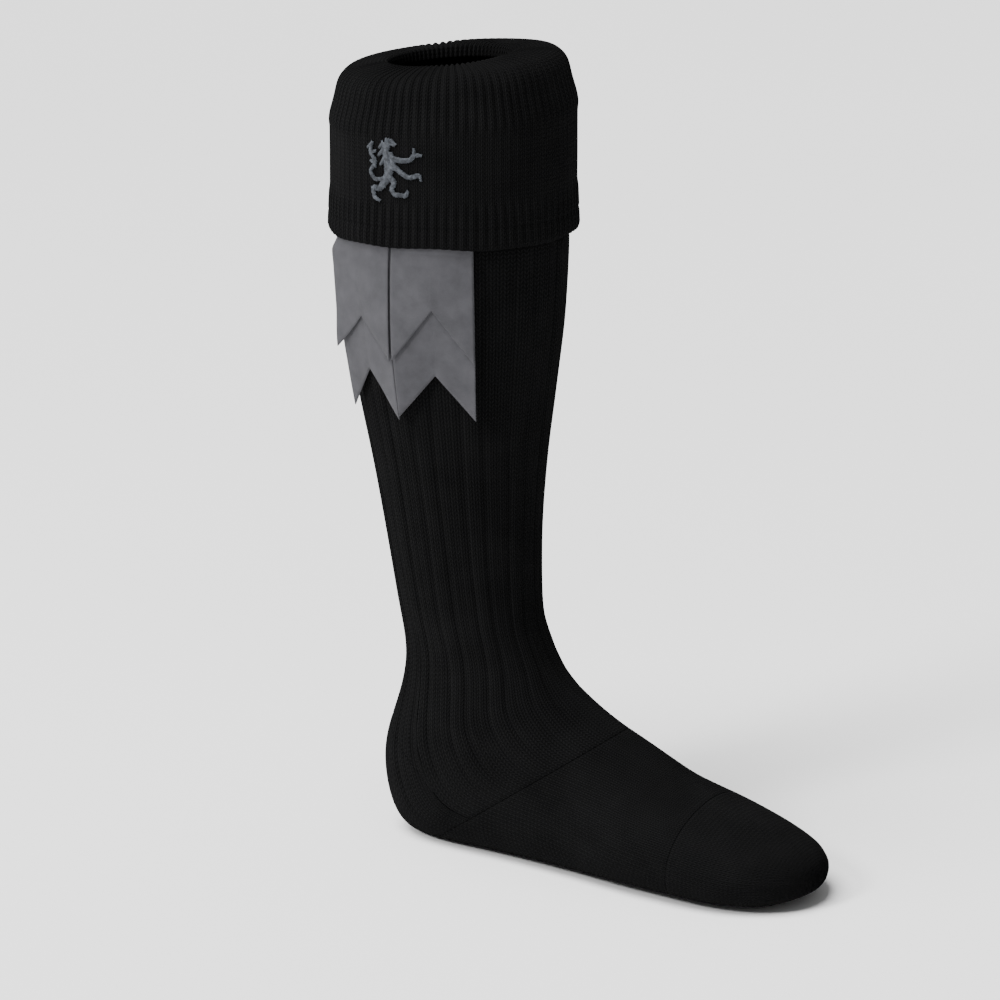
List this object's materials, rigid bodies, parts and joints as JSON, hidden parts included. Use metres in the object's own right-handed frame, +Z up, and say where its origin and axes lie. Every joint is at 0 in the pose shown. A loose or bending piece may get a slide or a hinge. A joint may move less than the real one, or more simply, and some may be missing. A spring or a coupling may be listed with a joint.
{
  "type": "kilt hose sock with garter flashes",
  "caption": "Knee-high ribbed knitted sock in its worn form, with a deep turned-down cuff, an embroidered lion, and swallowtail cloth flashes hung from a hidden garter.",
  "frame": {"origin": "middle of the leg's hollow at the garter's mid-height, where a calf holds the sock up", "axes": "+X towards the toe, -Y towards the outer side with the emblem and flashes, +Z up the leg"},
  "size_m": [0.2916, 0.1251, 0.4379],
  "materials": {
    "ribbed_knit": "matte black ribbed wool knit",
    "plain_knit": "matte black plain wool knit",
    "cuff_knit": "matte black wool knit, ribbed and plain zones",
    "embroidery_thread": "pale blue-grey satin stitch",
    "garter_elastic": "black woven elastic",
    "flash_cloth": "mid-grey matte woven cloth"
  },
  "bodies": {
    "root": {"leg": "ribbed_knit", "heel": "plain_knit", "foot": "plain_knit", "toe": "plain_knit", "turnover_cuff": "cuff_knit", "emblem": "embroidery_thread", "garter_band": "garter_elastic", "flash_front": "flash_cloth", "flash_rear": "flash_cloth"}
  },
  "joints": []
}
